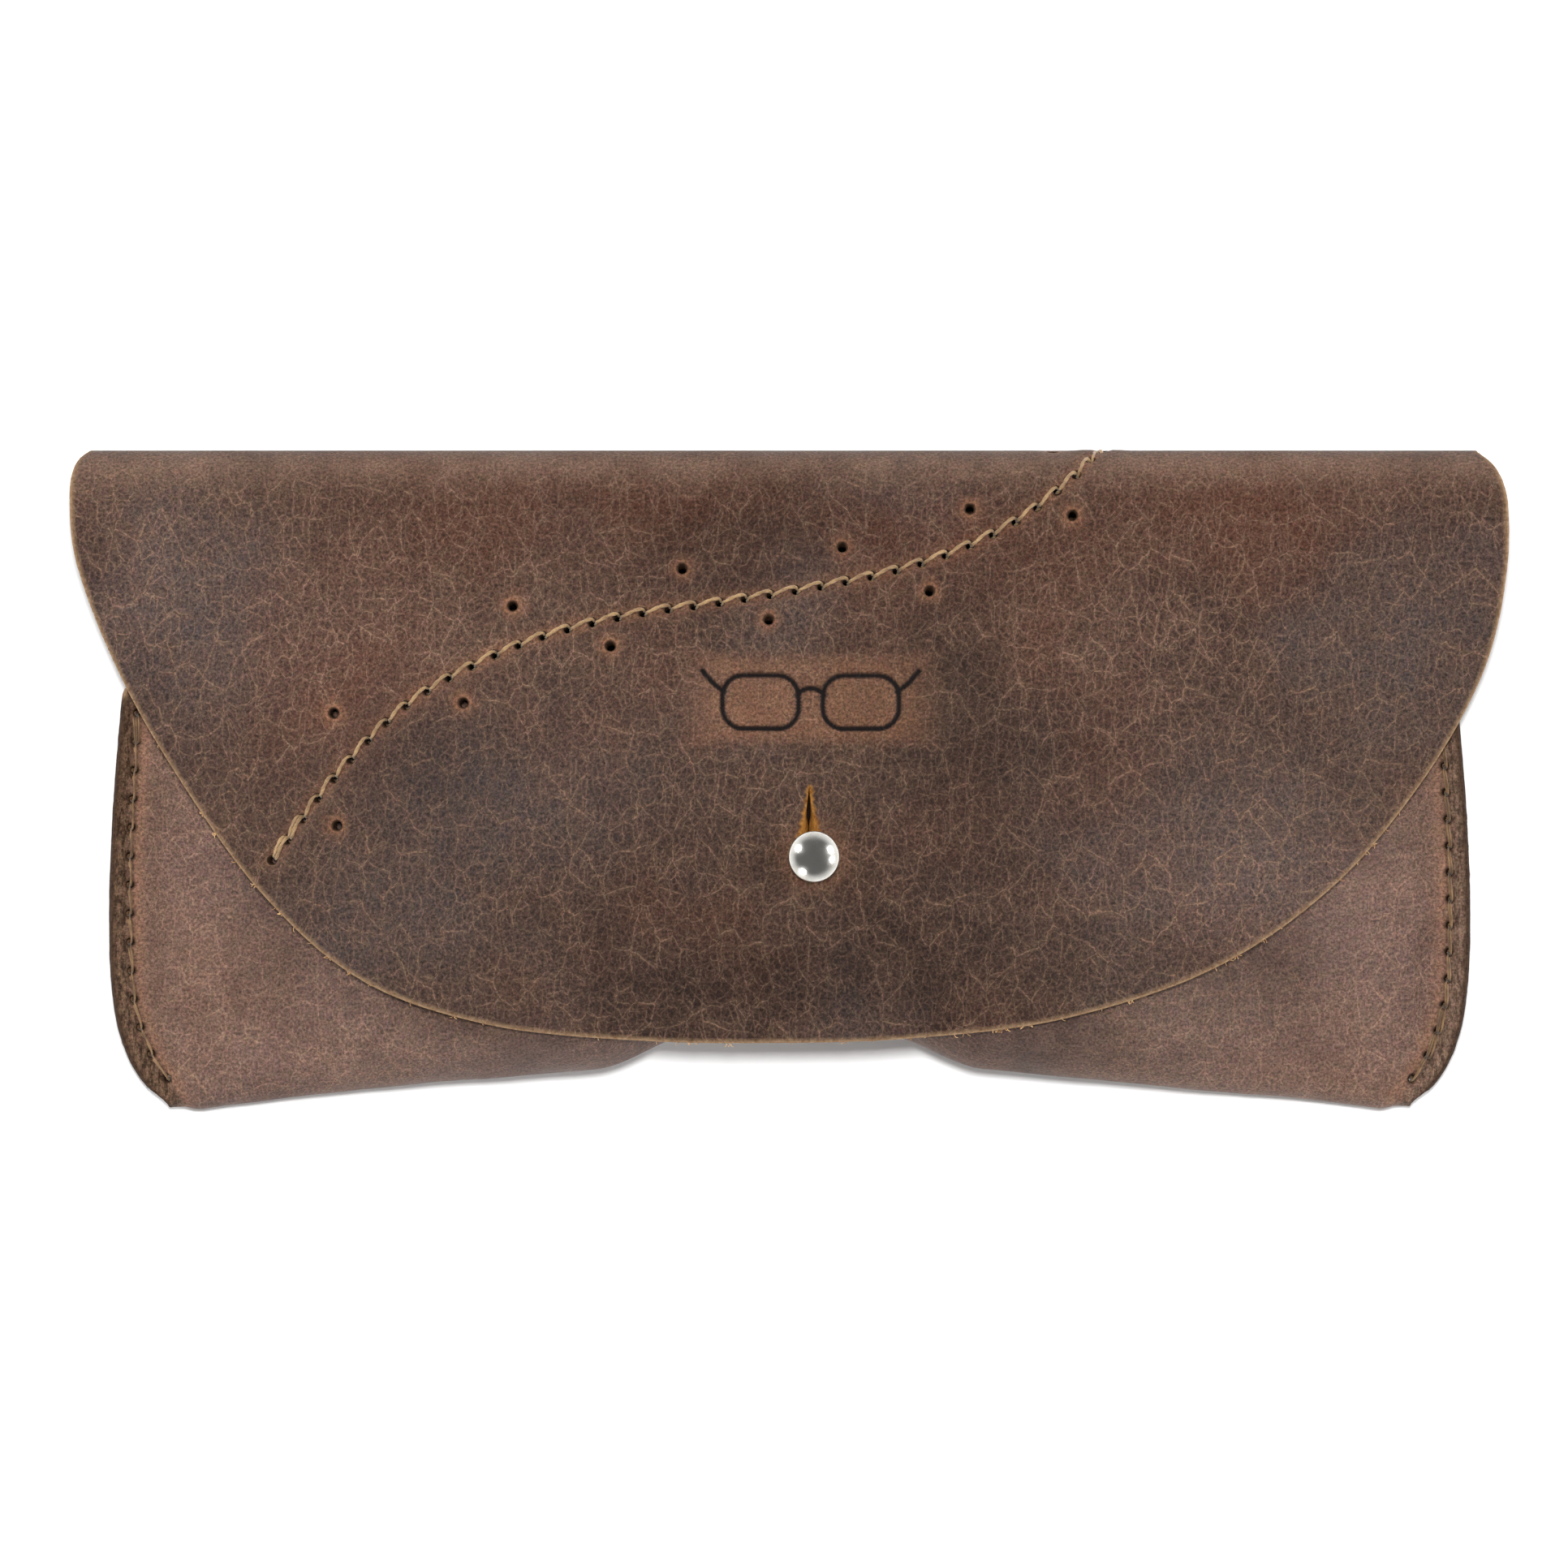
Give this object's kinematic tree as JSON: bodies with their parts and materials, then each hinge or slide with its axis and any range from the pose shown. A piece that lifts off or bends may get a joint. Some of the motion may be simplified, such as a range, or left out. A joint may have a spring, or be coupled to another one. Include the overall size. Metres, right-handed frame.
{
  "type": "soft glasses case",
  "caption": "Soft leather glasses case: a sewn pouch with a curved fold-over flap held shut by a ball stud through a keyhole.",
  "frame": {"origin": "middle of the underside, at the centre of the case's outline, with the case lying on its back", "axes": "+X along the case to the right seen from the front, +Y from the bottom of the pouch to the top fold, +Z out of the front towards the stud"},
  "size_m": [0.1781, 0.0827, 0.0373],
  "materials": {
    "hide": "waxed pull-up leather, satin, with pale creases",
    "thread": "waxed tan thread",
    "stud_metal": "polished nickel"
  },
  "bodies": {
    "pouch": {"back_panel": "hide", "bottom_fold": "hide", "front_panel": "hide", "lower_bend": "hide", "left_seam_thread": "thread", "right_seam_thread": "thread", "closure_stud": "stud_metal", "stud_screw": "stud_metal"},
    "spine": {"spine": "hide", "spine_thread": "thread"},
    "flap": {"upper_bend": "hide", "flap_panel": "hide", "keyhole_lips": "hide", "decorative_thread": "thread"}
  },
  "joints": [
    {"name": "spine_bend", "type": "hinge", "parent": "pouch", "child": "spine", "pos_m": [0, 0.03853, 0.00197], "axis": [-1, 0, 0], "range_deg": [0, 75], "deforming": ["lower_bend"]},
    {"name": "flap_bend", "type": "hinge", "parent": "spine", "child": "flap", "pos_m": [0, 0.03853, 0.01503], "axis": [-1, 0, 0], "range_deg": [0, 90], "deforming": ["upper_bend", "keyhole_lips"]}
  ]
}
